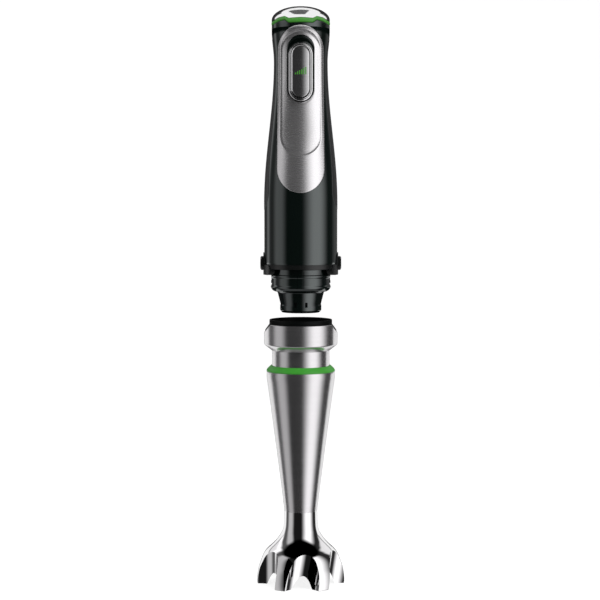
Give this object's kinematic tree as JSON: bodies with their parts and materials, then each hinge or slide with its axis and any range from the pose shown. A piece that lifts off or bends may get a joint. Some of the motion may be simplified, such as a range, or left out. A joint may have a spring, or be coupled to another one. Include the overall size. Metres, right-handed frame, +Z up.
{
  "type": "immersion blender",
  "caption": "Immersion blender with a waisted motor handle, a clip-on steel blending shaft with a spring-loaded bell tube, and a turning blade.",
  "frame": {"origin": "on the drive axis, at the height of the bell's feet", "axes": "+Z up along the drive axis from the bell to the cap; -Y is the front, with the speed button; +X is the viewer's right from the front"},
  "size_m": [0.07, 0.0658, 0.4593],
  "materials": {
    "black_gloss": "high-gloss moulded",
    "black_matte": "fine satin",
    "soft_grip": "soft satin",
    "brushed_steel": "brushed lengthways",
    "polished_steel": "mirror polished",
    "chrome": "polished",
    "button_metal": "fine satin",
    "green_clear": "clear moulded",
    "green_rubber": "satin",
    "seal_rubber": "satin",
    "board_green": "lacquered",
    "inner_plastic": "moulded",
    "capacitor_blue": "sleeved",
    "inner_metal": "plain",
    "stator_iron": "stacked sheet",
    "copper": "enamelled copper",
    "brass": "plain",
    "carbon": "carbon",
    "bearing_steel": "ground",
    "spring_steel": "drawn wire",
    "blade_steel": "ground"
  },
  "bodies": {
    "motor_unit": {"front_housing": "black_gloss", "rear_housing": "black_gloss", "side_grip_left": "soft_grip", "side_grip_right": "soft_grip", "faceplate": "brushed_steel", "button_surround": "black_gloss", "top_cap": "chrome", "light_ring": "green_clear", "light_board": "board_green", "control_board": "board_green", "board_carrier": "inner_plastic", "speed_sensor": "inner_plastic", "filter_capacitor": "capacitor_blue", "power_switch": "inner_metal", "cord_gland": "soft_grip", "motor_frame_top": "inner_plastic", "motor_frame_bottom": "inner_plastic", "stator_core": "stator_iron", "stator_windings": "copper", "brush_holders": "brass", "brushes": "carbon", "upper_motor_bearing": "bearing_steel", "lower_motor_bearing": "bearing_steel", "motor_bolts": "inner_metal", "housing_screws": "inner_metal", "clip_band": "black_matte", "connector_nose": "black_matte", "button_springs": "spring_steel", "safety_spring": "spring_steel", "release_spring_left": "spring_steel", "release_spring_right": "spring_steel"},
    "rotor": {"motor_shaft": "bearing_steel", "armature_core": "stator_iron", "armature_windings": "copper", "commutator": "copper", "fan": "inner_plastic", "drive_dog": "bearing_steel"},
    "speed_key": {"speed_button": "chrome", "button_pad": "button_metal"},
    "safety_key": {"safety_button": "chrome"},
    "release_left": {"release_button_left": "black_matte"},
    "release_right": {"release_button_right": "black_matte"},
    "shaft_collar": {"collar_sleeve": "brushed_steel", "collar_insert": "black_gloss", "neck_tube": "brushed_steel", "shaft_bearing": "bearing_steel", "plunge_spring": "spring_steel"},
    "bell_tube": {"wiper_ring": "green_rubber", "guide_bush": "inner_plastic", "lower_tube": "brushed_steel", "spring_seat": "inner_plastic", "bell": "polished_steel", "shaft_bush": "inner_plastic", "shaft_seal": "seal_rubber"},
    "drive_line": {"drive_shaft": "bearing_steel", "drive_socket": "inner_plastic", "blade_hub": "blade_steel", "blade": "blade_steel", "blade_nut": "blade_steel"}
  },
  "joints": [
    {"name": "rotor_spin", "type": "hinge", "parent": "motor_unit", "child": "rotor", "pos_m": [0, 0, 0.288], "axis": [0, 0, 1], "continuous": true},
    {"name": "speed_press", "type": "slide", "parent": "motor_unit", "child": "speed_key", "axis": [0, 1, 0], "range_m": [0, 0.003], "stiffness_N_per_m": 600, "springref_m": -0.002, "deforming": ["button_springs"]},
    {"name": "safety_press", "type": "slide", "parent": "motor_unit", "child": "safety_key", "axis": [0, 0, -1], "range_m": [0, 0.002], "stiffness_N_per_m": 500, "springref_m": -0.002, "deforming": ["safety_spring"]},
    {"name": "release_left_press", "type": "slide", "parent": "motor_unit", "child": "release_left", "axis": [1, 0, 0], "range_m": [0, 0.002], "stiffness_N_per_m": 800, "springref_m": -0.002, "deforming": ["release_spring_left"]},
    {"name": "release_right_press", "type": "slide", "parent": "motor_unit", "child": "release_right", "axis": [-1, 0, 0], "range_m": [0, 0.002], "stiffness_N_per_m": 800, "springref_m": -0.002, "deforming": ["release_spring_right"]},
    {"name": "shaft_attach", "type": "slide", "parent": "motor_unit", "child": "shaft_collar", "axis": [0, 0, 1], "range_m": [0, 0.039]},
    {"name": "bell_plunge", "type": "slide", "parent": "shaft_collar", "child": "bell_tube", "axis": [0, 0, 1], "range_m": [0, 0.01], "stiffness_N_per_m": 1500, "springref_m": -0.008, "deforming": ["plunge_spring"]},
    {"name": "drive_spin", "type": "hinge", "parent": "shaft_collar", "child": "drive_line", "pos_m": [0, 0, 0.1], "axis": [0, 0, 1], "continuous": true}
  ],
  "couplings": [
    {"joint": "drive_spin", "follows": "rotor_spin", "ratio": 1}
  ]
}
